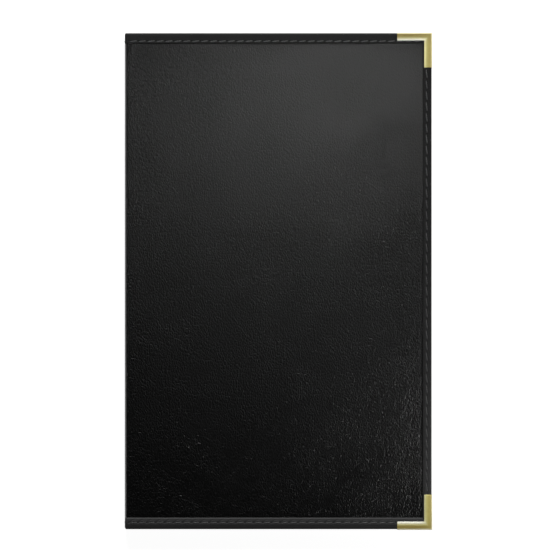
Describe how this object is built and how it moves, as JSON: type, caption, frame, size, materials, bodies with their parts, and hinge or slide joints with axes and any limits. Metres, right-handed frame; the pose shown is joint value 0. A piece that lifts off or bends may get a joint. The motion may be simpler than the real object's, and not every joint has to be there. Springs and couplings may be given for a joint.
{
  "type": "menu cover",
  "caption": "Closed book-fold menu cover in black leatherette with bound, stitched edges, brass corner clips and a clear pocket inside each cover; opens flat about a soft spine.",
  "frame": {"origin": "centre of the closed cover's outline, at the level of the surface it lies on (the outer faces of the back cover's corner clips)", "axes": "+X from the fold to the free side, +Y up the cover towards the head of the menu, +Z out of the front cover; the cover lies closed on its back"},
  "size_m": [0.2324, 0.376, 0.0122],
  "materials": {
    "leatherette": "black embossed leather grain, soft sheen",
    "binding": "black leatherette strip, smoother than the panel, softly puckered at the thread",
    "chipboard": "plain grey board, hidden by the skin and lining",
    "lining": "black matt lining with a fine weave",
    "clear_film": "clear glossy vinyl film",
    "thread": "black waxed twisted thread",
    "brass": "polished brass-plated sheet metal"
  },
  "bodies": {
    "back_cover": {"back_skin": "leatherette", "back_board": "chipboard", "back_lining": "lining", "back_pocket": "clear_film", "back_top_binding": "binding", "back_top_stitching": "thread", "back_side_binding": "binding", "back_side_stitching": "thread", "back_bottom_binding": "binding", "back_bottom_stitching": "thread", "back_top_corner": "brass", "back_bottom_corner": "brass"},
    "spine": {"spine_skin": "leatherette", "spine_lining": "lining", "spine_top_binding": "binding", "spine_bottom_binding": "binding", "spine_stitching": "thread"},
    "front_cover": {"front_skin": "leatherette", "front_board": "chipboard", "front_lining": "lining", "front_pocket": "clear_film", "front_top_binding": "binding", "front_top_stitching": "thread", "front_side_binding": "binding", "front_side_stitching": "thread", "front_bottom_binding": "binding", "front_bottom_stitching": "thread", "front_top_corner": "brass", "front_bottom_corner": "brass"}
  },
  "joints": [
    {"name": "spine_fold", "type": "hinge", "parent": "back_cover", "child": "spine", "pos_m": [-0.11488, 0, 0.0018], "axis": [0, -1, 0], "range_deg": [0, 90]},
    {"name": "cover_fold", "type": "hinge", "parent": "spine", "child": "front_cover", "pos_m": [-0.11488, 0, 0.0104], "axis": [0, -1, 0], "range_deg": [0, 90]}
  ],
  "couplings": [
    {"joint": "cover_fold", "follows": "spine_fold", "ratio": 1}
  ]
}
